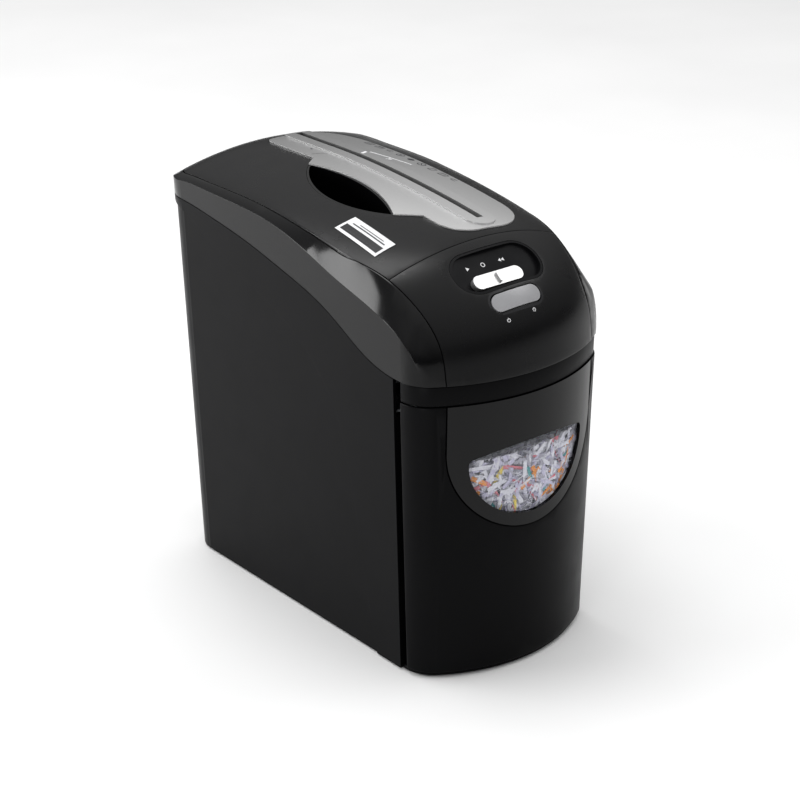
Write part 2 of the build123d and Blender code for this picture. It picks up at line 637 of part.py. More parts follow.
def drum(centre, first_y, count, turn, rear_end, wheels):
    x, z = centre
    parts = [disc(centre, first_y + n * disc_pitch, turn + n * disc_twist) for n in range(count)]
    parts.append(rod(core_radius, (x, front_plate_y + core_gap, z), (x, rear_plate_y - core_gap, z)))
    parts.append(rod(journal_radius, (x, front_outer - 1, z), (x, rear_end, z)))
    return join(parts[0], *parts[1:], *wheels)


first_a = front_plate_y + disc_margin
first_b = first_a + disc_pitch / 2
to_idler, to_motor = angle_to(axis_a, idler), angle_to(idler, motor)
journal_bore = journal_radius - 0.5
sync_a = gear(sync_teeth, sync_module, axis_a, layers[0], gear_width, 0, journal_bore)
sync_b = gear(sync_teeth, sync_module, axis_b, layers[0], gear_width, 180 + 180 / sync_teeth, journal_bore)
main_gear = gear(main_teeth, main_module, axis_a, layers[1], gear_width, to_idler, journal_bore)
drum_a = drum(axis_a, first_a, disc_count, 0, layers[1] + gear_width + 0.8, [sync_a, main_gear])
drum_b = drum(axis_b, first_b, disc_count - 1, 40, layers[0] + gear_width + 0.8, [sync_b])

axle_bore = axle_radius + running_gap
idler_small = gear(small_teeth, main_module, idler, layers[1], gear_width + gear_gap,
                   to_idler + 180 + 180 / small_teeth, axle_bore)
idler_big = gear(big_teeth, big_module, idler, layers[2], gear_width, to_motor, axle_bore)
idler_hub = tube(axle_radius + 3, axle_bore, (idler[0], rear_outer + running_gap * 2, idler[1]),
                 (idler[0], layers[1], idler[1]))
idler_gear = join(idler_big, idler_small, idler_hub)
axle_end = layers[2] + gear_width + 0.2
idler_x, idler_z = idler
idler_axle = join(rod(axle_radius, (idler_x, rear_plate_y, idler_z), (idler_x, axle_end + 1, idler_z)),
                  rod(axle_radius + 1.5, (idler_x, axle_end, idler_z), (idler_x, axle_end + 1, idler_z)))

motor_front = rear_plate_y - motor_length
can_inner = motor_radius - motor_wall
motor_can = cut(rod(motor_radius, (motor_x, motor_front, motor_z), (motor_x, rear_plate_y, motor_z)),
                rod(can_inner, (motor_x, motor_front + motor_wall, motor_z),
                    (motor_x, rear_plate_y + 1, motor_z)),
                rod(rotor_shaft_radius + running_gap, (motor_x, motor_front - 1, motor_z),
                    (motor_x, motor_front + 10, motor_z)))
pinion = gear(pinion_teeth, big_module, motor, layers[2], gear_width, to_motor + 180 + 180 / pinion_teeth,
              rotor_shaft_radius - 0.5)
motor_rotor = join(rod(rotor_shaft_radius, (motor_x, motor_front - 2, motor_z),
                       (motor_x, axle_end, motor_z)),
                   rod(rotor_radius, (motor_x, motor_front + rotor_end_gap, motor_z),
                       (motor_x, rear_plate_y - rotor_end_gap, motor_z)), pinion)
thermal_block = box(motor_x - 5, motor_x + 5, rear_plate_y - 50, rear_plate_y - 34,
                    motor_z + 18, motor_z + motor_radius + 4)
motor_bar = rod(motor_radius, (motor_x, motor_front, motor_z), (motor_x, rear_plate_y, motor_z))
thermal_cutout = cut(thermal_block, motor_bar)


def comb(side, axis, first_y, count):
    """A bar along one drum with a finger between every two discs."""
    bar_x = cutter_x + side * comb_x
    tip_x = axis[0] + side * (core_radius + comb_clearance)
    bar = box(bar_x - comb_thickness / 2, bar_x + comb_thickness / 2, front_plate_y, rear_plate_y,
              shaft_z - comb_height / 2, shaft_z + comb_height / 2)
    fingers = []
    for n in range(count):
        y = first_y + disc_thickness + n * disc_pitch + 1
        low, high = sorted((tip_x, bar_x))
        fingers.append(box(low, high, y, y + disc_pitch - disc_thickness - 2, shaft_z - finger_height / 2,
                           shaft_z + finger_height / 2))
    return join(bar, *fingers)


combs = [comb(-1, axis_a, first_a, disc_count - 1), comb(1, axis_b, first_b, disc_count - 2)]

# Paper sensor.
ear_gap = flap_width / 2 + 0.3
ears = []
for side in (-1, 1):
    y0, y1 = sorted((flap_y + side * ear_gap, flap_y + side * (ear_gap + ear_width)))
    ears.append(box(cutter_x + throat_x, flap_x + 3, y0, y1,
                    flap_z - ear_height / 2, flap_z + ear_height / 2))
pin_reach = ear_gap + ear_width
pin_hole = rod(flap_pin_radius + running_gap, (flap_x, flap_y - 9, flap_z), (flap_x, flap_y + 9, flap_z))
sensor_bracket = [cut(ear, pin_hole) for ear in ears]
flap_arm = box(flap_x - flap_reach, flap_x + 1, flap_y - flap_width / 2, flap_y + flap_width / 2,
               flap_z - flap_thickness / 2, flap_z + flap_thickness / 2)
sensor_flap = join(flap_arm, rod(flap_thickness, (flap_x, flap_y - flap_width / 2, flap_z),
                                 (flap_x, flap_y + flap_width / 2, flap_z)),
                   rod(flap_pin_radius, (flap_x, flap_y - pin_reach, flap_z),
                       (flap_x, flap_y + pin_reach, flap_z)))
flap_window = box(cutter_x, cutter_x + throat_x + 1, flap_y - ear_gap, flap_y + ear_gap, throat_bottom + 1,
                  flap_z + flap_thickness)
entry_throat = cut(entry_throat, flap_window)

# Electrics, feet and fasteners.
magnet_x, magnet_y, magnet_z = magnet_size
bin_magnet = box(-magnet_x / 2, magnet_x / 2, tub_rear, tub_rear + magnet_y, tub_top - magnet_z, tub_top)
switch_front = tub_rear + magnet_y + 1.5
bin_switch = box(-6, 6, switch_front, switch_front + 8, deck_bottom - 12, deck_bottom)
board_half_x, board_half_y = power_size[0] / 2, power_size[1] / 2
power_low = deck_top + 4
power_top = power_low + board_thickness
power_board = box(power_x - board_half_x, power_x + board_half_x, power_y - board_half_y,
                  power_y + board_half_y, power_low, power_top)
power_feet = [rod(2.5, (power_x + sx * (board_half_x - 4), power_y + sy * (board_half_y - 4), deck_top),
                  (power_x + sx * (board_half_x - 4), power_y + sy * (board_half_y - 4), power_low))
              for sx in (-1, 1) for sy in (-1, 1)]
power_blocks = [box(power_x + x - w / 2, power_x + x + w / 2, power_y + y - d / 2, power_y + y + d / 2,
                    power_top, power_top + h) for x, y, w, d, h in power_parts]
gland_face = rear_y - rear_draft * (band_top - gland_z)
gland_neck = rod(gland_bore + 1.5, (gland_x, gland_face - wall - 3, gland_z), (gland_x, gland_face, gland_z))
gland_collar = rod(gland_radius, (gland_x, gland_face + 0.1, gland_z), (gland_x, gland_face + 3.5, gland_z))
gland_hollow = rod(gland_bore, (gland_x, gland_face - 20, gland_z), (gland_x, gland_face + 9, gland_z))
cord_gland = cut(join(gland_neck, gland_collar), gland_hollow)
feet = [rod(foot_radius, (sx * foot_x, sy * foot_y, 0), (sx * foot_x, sy * foot_y, shell_bottom))
        for sx in (-1, 1) for sy in (-1, 1)]
rod_screws = [screw((x, face, z), (0, way, 0), plate_thickness)
              for x in (rod_left, rod_right) for z in (rod_low, rod_high)
              for face, way in ((front_outer, -1), (rear_outer, 1))]
band_screws = [screw((side * post_x, post_y, band_low + flange_thickness), (0, 0, 1), flange_thickness)
               for side in (-1, 1)]

nodes = {
    "cabinet_shell": [cabinet], "feet": feet, "deck": [deck], "deck_posts": deck_posts,
    "front_band": [front_band], "bin_panel": [bin_panel], "window_shield": [window_shield],
    "window_pane": [window_pane], "bin_tub": [bin_tub], "shredded_paper": [shredded_paper],
    "bin_magnet": [bin_magnet], "bin_switch": [bin_switch], "top_cover": [top_cover],
    "front_console": [console], "head_surround": [head_surround], "entry_plate": [entry_plate],
    "entry_throat": [entry_throat], "grip_cup": [grip_cup], "info_label": [info_label],
    "switch_pocket": [switch_pocket], "mode_switch": [mode_switch], "switch_body": [switch_body],
    "control_board": [control_board], "status_leds": leds, "light_guides": guides,
    "status_lens": [status_lens], "front_plate": [front_plate], "rear_plate": [rear_plate],
    "drum_bushes": bushes, "tie_rods": tie_rods, "rod_screws": rod_screws, "band_screws": band_screws,
    "strip_combs": combs, "cutter_drum_a": [drum_a], "cutter_drum_b": [drum_b],
    "idler_gear": [idler_gear], "idler_axle": [idler_axle], "motor_can": [motor_can],
    "motor_rotor": [motor_rotor], "thermal_cutout": [thermal_cutout], "sensor_bracket": sensor_bracket,
    "sensor_flap": [sensor_flap], "power_board": [power_board, *power_feet],
    "power_parts": power_blocks, "cord_gland": [cord_gland],
}
for name, solids in nodes.items():
    shape = solids[0] if len(solids) == 1 else Compound(children=solids)
    shape.label = name
    export_step(shape, f"parts/{name}.step")
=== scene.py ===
import math
import random

import bmesh
import bpy
from mathutils import Matrix, Vector
from mathutils.bvhtree import BVHTree


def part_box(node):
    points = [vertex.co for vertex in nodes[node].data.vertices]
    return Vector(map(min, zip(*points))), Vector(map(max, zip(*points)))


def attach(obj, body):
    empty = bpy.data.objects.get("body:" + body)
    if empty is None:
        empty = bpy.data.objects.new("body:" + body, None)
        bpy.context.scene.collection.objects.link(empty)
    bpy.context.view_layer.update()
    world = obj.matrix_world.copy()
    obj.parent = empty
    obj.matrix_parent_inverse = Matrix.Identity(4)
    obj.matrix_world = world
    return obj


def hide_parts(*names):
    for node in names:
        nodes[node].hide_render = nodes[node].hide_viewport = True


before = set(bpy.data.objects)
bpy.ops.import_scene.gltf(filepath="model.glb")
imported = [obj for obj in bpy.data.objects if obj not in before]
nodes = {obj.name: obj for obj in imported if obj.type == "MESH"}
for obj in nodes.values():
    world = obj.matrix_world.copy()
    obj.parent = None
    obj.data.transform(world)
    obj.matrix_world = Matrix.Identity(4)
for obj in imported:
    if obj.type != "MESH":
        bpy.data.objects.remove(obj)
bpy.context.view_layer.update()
mm = 0.001
print("frame loaded:", len(nodes), "nodes")


# shader helpers

def newMaterial(name):
    material = bpy.data.materials.new(name)
    material.use_nodes = True
    tree = material.node_tree
    tree.nodes.clear()
    output = tree.nodes.new("ShaderNodeOutputMaterial")
    shader = tree.nodes.new("ShaderNodeBsdfPrincipled")
    tree.links.new(shader.outputs[0], output.inputs["Surface"])
    return material, tree, shader


def addNode(tree, kind, **values):
    node = tree.nodes.new(kind)
    for key, value in values.items():
        if hasattr(node, key):
            setattr(node, key, value)
        else:
            node.inputs[key.replace("_", " ")].default_value = value
    return node


def objectSpace(tree):
    return addNode(tree, "ShaderNodeTexCoord").outputs["Object"]


def noise(tree, scale, detail=4.0, rough=0.5, stretch=None):
    coords = objectSpace(tree)
    if stretch:
        mapping = addNode(tree, "ShaderNodeMapping")
        mapping.inputs["Scale"].default_value = stretch
        tree.links.new(coords, mapping.inputs["Vector"])
        coords = mapping.outputs[0]
    node = addNode(tree, "ShaderNodeTexNoise", Scale=scale, Detail=detail, Roughness=rough)
    tree.links.new(coords, node.inputs["Vector"])
    return node.outputs["Fac"]


def spread(tree, fac, low, high, start=0.0, end=1.0):
    node = addNode(tree, "ShaderNodeMapRange")
    for key, value in (("From Min", start), ("From Max", end), ("To Min", low), ("To Max", high)):
        node.inputs[key].default_value = value
    tree.links.new(fac, node.inputs["Value"])
    return node.outputs[0]


def ramp(tree, fac, colours):
    node = addNode(tree, "ShaderNodeValToRGB")
    elements = node.color_ramp.elements
    while len(elements) < len(colours):
        elements.new(0.5)
    for element, (position, colour) in zip(elements, colours):
        element.position = position
        element.color = (*colour, 1)
    tree.links.new(fac, node.inputs[0])
    return node.outputs[0]


def bump(tree, shader, height, strength, distance):
    node = addNode(tree, "ShaderNodeBump")
    node.inputs["Strength"].default_value = strength
    node.inputs["Distance"].default_value = distance
    tree.links.new(height, node.inputs["Height"])
    tree.links.new(node.outputs[0], shader.inputs["Normal"])


# finishes

finishes = {
    "satinBlack": dict(colour=(0.0035, 0.0035, 0.004), rough=(0.3, 0.37), grain=2600, depth=0.05, gloss=0.1),
    "headBlack": dict(colour=(0.0035, 0.0035, 0.004), rough=(0.26, 0.32), grain=2600, depth=0.05, gloss=0.3),
    "glossBlack": dict(colour=(0.003, 0.003, 0.0034), rough=(0.12, 0.17), grain=900, depth=0.008, gloss=0.32),
    "matteBlack": dict(colour=(0.006, 0.006, 0.007), rough=(0.5, 0.62), grain=1800, depth=0.08, gloss=0.18),
    "innerBlack": dict(colour=(0.022, 0.022, 0.024), rough=(0.55, 0.7), grain=1500, depth=0.08, gloss=0.3),
    "footRubber": dict(colour=(0.02, 0.02, 0.02), rough=(0.75, 0.9), grain=1400, depth=0.2, gloss=0.3),
    "gearNylon": dict(colour=(0.62, 0.6, 0.52), rough=(0.35, 0.5), grain=700, depth=0.05, gloss=0.5),
    "motorEnamel": dict(colour=(0.03, 0.03, 0.035), rough=(0.3, 0.42), grain=500, depth=0.04, gloss=0.5),
    "caseBlue": dict(colour=(0.03, 0.06, 0.12), rough=(0.4, 0.5), grain=900, depth=0.05, gloss=0.5),
    "whitePrint": dict(colour=(0.72, 0.72, 0.73), rough=(0.4, 0.5), grain=2000, depth=0.03, gloss=0.4),
    "greyPrint": dict(colour=(0.035, 0.035, 0.04), rough=(0.4, 0.5), grain=2000, depth=0.03, gloss=0.4),
    "darkPrint": dict(colour=(0.012, 0.012, 0.014), rough=(0.35, 0.45), grain=2000, depth=0.03, gloss=0.4),
}


def mouldedPlastic(name, colour, rough, grain, depth, gloss):
    material, tree, shader = newMaterial(name)
    cloud = noise(tree, 14, 3)
    fine = noise(tree, grain, 2, 0.6)
    dark = tuple(c * 0.88 for c in colour)
    light = tuple(c * 1.12 for c in colour)
    tree.links.new(ramp(tree, cloud, [(0.3, dark), (0.7, light)]), shader.inputs["Base Color"])
    tree.links.new(spread(tree, noise(tree, 45, 5), *rough, 0.3, 0.7), shader.inputs["Roughness"])
    shader.inputs["Specular IOR Level"].default_value = gloss
    bump(tree, shader, fine, depth, 0.0004)
    return material


def brushedMetal(name, colour, rough, stretch, depth=0.08):
    material, tree, shader = newMaterial(name)
    lines = noise(tree, 260, 3, 0.6, stretch)
    shade = noise(tree, 30, 4)
    low = tuple(c * 0.8 for c in colour)
    tree.links.new(ramp(tree, shade, [(0.3, low), (0.7, colour)]), shader.inputs["Base Color"])
    tree.links.new(spread(tree, lines, *rough, 0.3, 0.7), shader.inputs["Roughness"])
    shader.inputs["Metallic"].default_value = 1.0
    bump(tree, shader, lines, depth, 0.0002)
    return material


# silver lacquer: fine flakes, and a painted shade that makes it a little darker towards the rear of the plate
silverLacquerAndPaintedShade = dict(dark=(0.34, 0.34, 0.34), light=(0.62, 0.62, 0.62), flakeScale=3800, rough=(0.34, 0.44))

# the switch silver: the same flakes and painted shade ramp, paler at its dark end
switchSilverAndPaintedShade = dict(silverLacquerAndPaintedShade, dark=(0.42, 0.42, 0.42), light=(0.6, 0.6, 0.6))


def silverPaintAndPaintedShade(name, values):
    material, tree, shader = newMaterial(name)
    split = addNode(tree, "ShaderNodeSeparateXYZ")
    tree.links.new(objectSpace(tree), split.inputs[0])
    # painted shade: the tone runs from the light end at the front to the dark end at the rear
    paintedShadeRamp = spread(tree, split.outputs[1], 1.0, 0.0, -0.1, 0.15)
    tone = ramp(tree, paintedShadeRamp, [(0.0, values["dark"]), (1.0, values["light"])])
    flakes = noise(tree, values["flakeScale"], 2, 0.7)
    mix = addNode(tree, "ShaderNodeMix", data_type="RGBA", blend_type="MULTIPLY")
    mix.inputs["Factor"].default_value = 0.5
    tree.links.new(tone, mix.inputs[6])
    tree.links.new(ramp(tree, flakes, [(0.35, (0.72, 0.72, 0.72)), (0.65, (1, 1, 1))]), mix.inputs[7])
    tree.links.new(mix.outputs[2], shader.inputs["Base Color"])
    tree.links.new(spread(tree, flakes, *values["rough"], 0.3, 0.7), shader.inputs["Roughness"])
    shader.inputs["Metallic"].default_value = 0.75
    bump(tree, shader, flakes, 0.05, 0.0002)
    return material


def clearPane(name, tint, alpha, rough):
    material, tree, shader = newMaterial(name)
    haze = noise(tree, 60, 3)
    dim = tuple(c * 0.9 for c in tint)
    tree.links.new(ramp(tree, haze, [(0.3, dim), (0.7, tint)]), shader.inputs["Base Color"])
    tree.links.new(spread(tree, haze, rough, rough * 1.6), shader.inputs["Roughness"])
    shader.inputs["Alpha"].default_value = alpha
    shader.inputs["IOR"].default_value = 1.49
    return material


def circuitBoard(name):
    material, tree, shader = newMaterial(name)
    cells = addNode(tree, "ShaderNodeTexVoronoi", feature="DISTANCE_TO_EDGE", Scale=260.0)
    tree.links.new(objectSpace(tree), cells.inputs["Vector"])
    colour = ramp(tree, cells.outputs[0], [(0.03, (0.05, 0.2, 0.08)), (0.08, (0.012, 0.075, 0.03))])
    tree.links.new(colour, shader.inputs["Base Color"])
    tree.links.new(spread(tree, noise(tree, 90, 3), 0.3, 0.45), shader.inputs["Roughness"])
    bump(tree, shader, cells.outputs[0], 0.1, 0.0002)
    return material


mats = {name: mouldedPlastic(name, **values) for name, values in finishes.items()}
mats["silver"] = silverPaintAndPaintedShade("silverLacquerAndPaintedShade", silverLacquerAndPaintedShade)
mats["zinc"] = brushedMetal("zincSheet", (0.5, 0.52, 0.53), (0.35, 0.5), (1, 1, 1))
mats["hardSteel"] = brushedMetal("cutterSteel", (0.32, 0.32, 0.34), (0.22, 0.38), (1, 12, 1))
mats["steel"] = brushedMetal("groundSteel", (0.6, 0.6, 0.62), (0.2, 0.3), (1, 10, 1))
mats["bronze"] = brushedMetal("sinteredBronze", (0.45, 0.28, 0.12), (0.4, 0.55), (1, 1, 1), 0.2)
mats["pane"] = clearPane("windowPane", (0.75, 0.78, 0.84), 0.07, 0.04)
mats["acrylic"] = clearPane("clearAcrylic", (0.85, 0.86, 0.9), 0.5, 0.12)
mats["board"] = circuitBoard("circuitBoard")
# a paler silver: the mode switch's own silver, and painted light on the entry throat
mats["switchSilverAndPaintedThroatLight"] = silverPaintAndPaintedShade("switchSilverAndPaintedShade", switchSilverAndPaintedShade)
mats["lens"] = mouldedPlastic("lensGrey", (0.3, 0.3, 0.31), (0.18, 0.26), 600, 0.02, 0.5)
paperTones = {
    # tone: colour, share of the strips
    "white": ((0.72, 0.72, 0.78), 0.52),
    "lavender": ((0.56, 0.54, 0.68), 0.24),
    "grey": ((0.4, 0.39, 0.45), 0.15),
    "rose": ((0.62, 0.2, 0.24), 0.035),
    "orange": ((0.75, 0.3, 0.06), 0.02),
    "teal": ((0.08, 0.32, 0.33), 0.015),
    "yellow": ((0.75, 0.6, 0.12), 0.02),
}
paperMats = {}
for tone, (colour, share) in paperTones.items():
    paperMats[tone] = mouldedPlastic(tone + "Paper", colour, (0.75, 0.9), 1600, 0.1, 0.2)

nodeFinish = {
    "satinBlack": ["cabinet_shell", "bin_panel", "front_band"],
    "headBlack": ["top_cover", "front_console"],
    "glossBlack": ["head_surround", "window_shield", "grip_cup"],
    "matteBlack": ["switch_pocket", "bin_tub", "bin_switch", "switch_body", "thermal_cutout",
                   "sensor_bracket", "cord_gland", "info_label"],
    "footRubber": ["feet"],
    "silver": ["entry_plate"],
    # the entry throat takes this paler silver as painted light on the far wall of the slot; on the mode
    # switch it is the switch's own silver
    "switchSilverAndPaintedThroatLight": ["mode_switch", "entry_throat"],
    "lens": ["status_lens"],
    "innerBlack": ["shredded_paper"],
    "zinc": ["deck", "deck_posts", "front_plate", "rear_plate", "strip_combs"],
    "hardSteel": ["cutter_drum_a", "cutter_drum_b", "bin_magnet"],
    "steel": ["tie_rods", "rod_screws", "band_screws", "idler_axle", "motor_rotor"],
    "bronze": ["drum_bushes"],
    "gearNylon": ["idler_gear", "sensor_flap"],
    "motorEnamel": ["motor_can"],
    "pane": ["window_pane"],
    "acrylic": ["status_leds", "light_guides"],
    "board": ["control_board", "power_board"],
    "caseBlue": ["power_parts"],
}
edgeRounding = dict(width=0.7 * mm, segments=3, angle=math.radians(32), weld=0.02 * mm)


def soften(obj, values):
    # rounds the hard edges that a mould leaves, without changing the mesh itself
    weld = obj.modifiers.new("weld", "WELD")
    weld.merge_threshold = values["weld"]
    rounding = obj.modifiers.new("rounding", "BEVEL")
    rounding.width = values["width"]
    rounding.segments = values["segments"]
    rounding.limit_method = "ANGLE"
    rounding.angle_limit = values["angle"]


for finish, names in nodeFinish.items():
    for name in names:
        obj = nodes[name]
        obj.data.materials.clear()
        obj.data.materials.append(mats[finish])
mouldings = ("cabinet_shell", "bin_panel", "front_band", "top_cover", "front_console", "head_surround")
for name in mouldings:
    soften(nodes[name], edgeRounding)
print("finishes on every node")


# printed marks: flat outlines laid down on a surface

def treeOf(*names):
    vertices, faces = [], []
    for name in names:
        mesh = nodes[name].data
        start = len(vertices)
        vertices += [v.co.copy() for v in mesh.vertices]
        faces += [[start + i for i in polygon.vertices] for polygon in mesh.polygons]
    return BVHTree.FromPolygons(vertices, faces)


def ring(x, y, outer, inner, sides=20, start=0.0, sweep=360.0):
    quads = []
    for n in range(sides):
        a, b = (math.radians(start + sweep * k / sides) for k in (n, n + 1))
        corners = ((inner, a), (outer, a), (outer, b), (inner, b))
        quads.append([(x + r * math.cos(t), y + r * math.sin(t)) for r, t in corners])
    return quads


def bar(x0, y0, x1, y1, width, step=4.0):
    # a straight stroke in short pieces, so it can follow a curve
    length = math.hypot(x1 - x0, y1 - y0)
    count = max(1, int(length / step))
    ux, uy = (x1 - x0) / length, (y1 - y0) / length
    px, py = -uy * width / 2, ux * width / 2
    quads = []
    for n in range(count):
        a, b = length * n / count, length * (n + 1) / count
        quads.append([(x0 + ux * a + px, y0 + uy * a + py), (x0 + ux * a - px, y0 + uy * a - py),
                      (x0 + ux * b - px, y0 + uy * b - py), (x0 + ux * b + px, y0 + uy * b + py)])
    return quads


def frameOf(x, y, width, height, line):
    w, h = width / 2, height / 2
    corners = [(x - w, y - h), (x + w, y - h), (x + w, y + h), (x - w, y + h)]
    quads = []
    for (ax, ay), (bx, by) in zip(corners, corners[1:] + corners[:1]):
        quads += bar(ax, ay, bx, by, line)
    return quads


def panel(x0, y0, x1, y1, step=3.0):
    nx, ny = max(1, int((x1 - x0) / step)), max(1, int((y1 - y0) / step))
    quads = []
    for i in range(nx):
        for j in range(ny):
            a, b = x0 + (x1 - x0) * i / nx, x0 + (x1 - x0) * (i + 1) / nx
            c, d = y0 + (y1 - y0) * j / ny, y0 + (y1 - y0) * (j + 1) / ny
            quads.append([(a, c), (b, c), (b, d), (a, d)])
    return quads


def triangle(x, y, size, turn):
    angles = [math.radians(turn + k) for k in (0, 120, 240)]
    return [[(x + size * math.cos(a), y + size * math.sin(a)) for a in angles]]


def slotRing(x, y, width, height, line, sides=14):
    # a band round a slot with round ends
    quads = ring(x - (width - height) / 2, y, height / 2 + line, height / 2, sides, 90, 180)
    quads += ring(x + (width - height) / 2, y, height / 2 + line, height / 2, sides, -90, 180)
    run = (width - height) / 2
    for side in (-1, 1):
        level = y + side * (height + line) / 2
        quads += bar(x - run, level, x + run, level, line, 3)
    return quads

castHeight = 30 * mm  # how far above a surface a mark starts


def printOn(name, shapes, tree, origin, xAxis, yAxis, material, lift, thickness):
    # outlines in millimetres from the origin, each point dropped onto the surface below it
    origin, xAxis, yAxis = Vector(origin) * mm, Vector(xAxis).normalized(), Vector(yAxis).normalized()
    away = xAxis.cross(yAxis)
    build = bmesh.new()
    for outline in shapes:
        made = []
        for x, y in outline:
            point = origin + xAxis * x * mm + yAxis * y * mm
            hit = tree.ray_cast(point + away * castHeight, -away)[0]
            if hit is None:
                break
            made.append(build.verts.new(hit + away * (lift + thickness) * mm))
        if len(made) == len(outline):
            build.faces.new(made)
    bmesh.ops.remove_doubles(build, verts=build.verts, dist=0.00001)
    mesh = bpy.data.meshes.new(name)
    build.to_mesh(mesh)
    build.free()
    obj = bpy.data.objects.new(name, mesh)
    bpy.context.scene.collection.objects.link(obj)
    solid = obj.modifiers.new("thickness", "SOLIDIFY")
    solid.thickness = thickness * mm
    solid.offset = -1
    mesh.materials.append(mats[material])
    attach(obj, "cabinet")


across, forward = (1, 0, 0), (0, 1, 0)
coverTree = treeOf("top_cover")
plateTree = treeOf("entry_plate")
labelTree = treeOf("info_label")

# the service label: a white border round two dark bars, with a light line between
label = dict(centre=(-62, -54), size=(19, 50), turn=-2.5)


def makeLabel(values):
    turn = math.radians(values["turn"])
    xAxis = (math.cos(turn), math.sin(turn), 0)
    yAxis = (-math.sin(turn), math.cos(turn), 0)
    w, h = values["size"][0] / 2 - 0.25, values["size"][1] / 2 - 0.25
    origin = (*values["centre"], 330)
    white = panel(-w, -h, w, h, 2.5)
    printOn("label_sheet", white, labelTree, origin, xAxis, yAxis, "whitePrint", 0.0, 0.06)
    dark = panel(-w + 2.6, -h + 2.6, -w + 9.4, h - 2.6, 2.5)
    printOn("label_bar", dark, labelTree, origin, xAxis, yAxis, "darkPrint", 0.09, 0.03)
    lines = bar(3.0, -h + 5, 3.0, h - 6, 1.1) + bar(5.2, -h + 9, 5.2, h - 12, 0.7)
    printOn("label_lines", lines, labelTree, origin, xAxis, yAxis, "greyPrint", 0.09, 0.03)
    light = []
    for y in range(-18, 19, 4):
        light += bar(-w + 4.8, y, -w + 4.8, y + 2.6, 0.7) + bar(-w + 7.2, y + 0.6, -w + 7.2, y + 2.4, 0.5)
    printOn("label_rules", light, labelTree, origin, xAxis, yAxis, "greyPrint", 0.14, 0.03)


makeLabel(label)

# the guide marks and the small signs along the entry plate
plateMarks = dict(tickAt=63, lineX=47, lineTo=26, arrow=(39, 43), signX=57.5, signFrom=92, signStep=-13,
                  signScale=1.35, dot=(2, 95))


def signShape(kind):
    if kind == "sheet":
        return frameOf(0, 0, 4, 5.4, 0.5) + bar(-1, 1, 1, 1, 0.4) + bar(-1, -1, 1, -1, 0.4)
    if kind == "disc":
        return ring(0, 0, 2.7, 2.2) + ring(0, 0, 0.9, 0.4)
    if kind == "card":
        return frameOf(0, 0, 3.6, 5.6, 0.5) + bar(0.8, -2.6, 0.8, 2.6, 0.8)
    if kind == "barred":
        return ring(0, 0, 2.8, 2.2) + bar(-1.6, -1.6, 1.6, 1.6, 0.5)
    if kind == "dot":
        return ring(0, 0, 2.2, 0.0)
    if kind == "clip":
        legs = bar(-1.25, 1, -1.25, -2.2, 0.5) + bar(1.25, 1, 1.25, -1.4, 0.5)
        return ring(0, 1, 1.5, 1.0, 12, 0, 180) + legs
    return frameOf(0, 0, 4.4, 3.4, 0.5)


def sign(kind, x, y, scale):
    return [[(x + scale * px, y + scale * py) for px, py in outline] for outline in signShape(kind)]


def makePlateMarks(values):
    shapes = []
    kinds = ["sheet", "card", "clip", "disc", "dot", "barred", "stack", "sheet", "clip"]
    for n, kind in enumerate(kinds):
        y = values["signFrom"] + n * values["signStep"]
        shapes += sign(kind, values["signX"], y, values["signScale"])
    shapes += ring(*values["dot"], 1.0, 0.0, 12) + bar(4.2, 78, -6, 84, 0.35)
    printOn("plate_signs", shapes, plateTree, (0, 0, 335), across, forward, "greyPrint", 0.03, 0.04)
    tick = values["tickAt"]
    white = bar(25, tick - 2.5, 36, tick + 2, 2.4, 1.5)
    white += bar(37, tick + 2.5, values["lineX"], values["lineTo"], 1.5)
    x, y = values["arrow"]
    white += triangle(x, y, 2.2, -60) + bar(x, y, x - 2.4, y + 2.4, 0.8)
    printOn("plate_guides", white, plateTree, (0, 0, 335), across, forward, "whitePrint", 0.03, 0.05)


makePlateMarks(plateMarks)



def slopeAt(angle):
    return (0, math.cos(math.radians(angle)), math.sin(math.radians(angle)))


def middleOf(name):
    return [(a + b) / 2 / mm for a, b in zip(*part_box(name))]


# the signs over the mode switch: run, off and reverse
modeSigns = dict(spots=(-22, -7.5, 10), up=7.5, size=1.9, slope=40)


def makeModeSigns(values):
    left, middle, right = values["spots"]
    size, y = values["size"], values["up"]
    shapes = triangle(left, y, size, 0)
    shapes += ring(middle, y, size, size - 0.6)
    shapes += triangle(right - 1.4, y, size * 0.9, 180) + triangle(right + 1.4, y, size * 0.9, 180)
    tree = treeOf("switch_pocket")
    slope = slopeAt(values["slope"])
    printOn("mode_signs", shapes, tree, middleOf("switch_pocket"), across, slope, "whitePrint", 0.03, 0.05)


makeModeSigns(modeSigns)

# the signs under the lens, for power and for heat, and a painted shade ring round the lens, standing in for
# the dark gap between lens and console
lampSigns = dict(spots=((-19, -13.5), (5, -11.5)), size=1.5, slope=62, rim=(-5, 0, 45, 15, 1.6))


def makeLampSigns(values):
    tree = treeOf("front_console")
    (px, py), (hx, hy) = values["spots"]
    size = values["size"]
    shapes = ring(px, py, size, size - 0.45, 16, 120, 300) + bar(px, py, px, py + size + 0.3, 0.45)
    shapes += ring(hx, hy, size, size - 0.45, 16) + bar(hx, hy - 0.2, hx, hy + 0.9, 0.45)
    slope = slopeAt(values["slope"])
    origin = (0, *middleOf("status_lens")[1:])
    # painted shade: a dark ring printed on the console round the lens gap
    rim = slotRing(*values["rim"])
    printOn("lens_rim", rim, tree, origin, across, slope, "darkPrint", 0.02, 0.04)
    printOn("lamp_signs", shapes, tree, origin, across, slope, "whitePrint", 0.03, 0.05)


makeLampSigns(lampSigns)
print("printed marks laid on")


# cut paper behind the window

paper = dict(seed=11, front=1500, heap=1500, length=(14, 32), width=(2.4, 3.8), depth=15, curl=0.9)


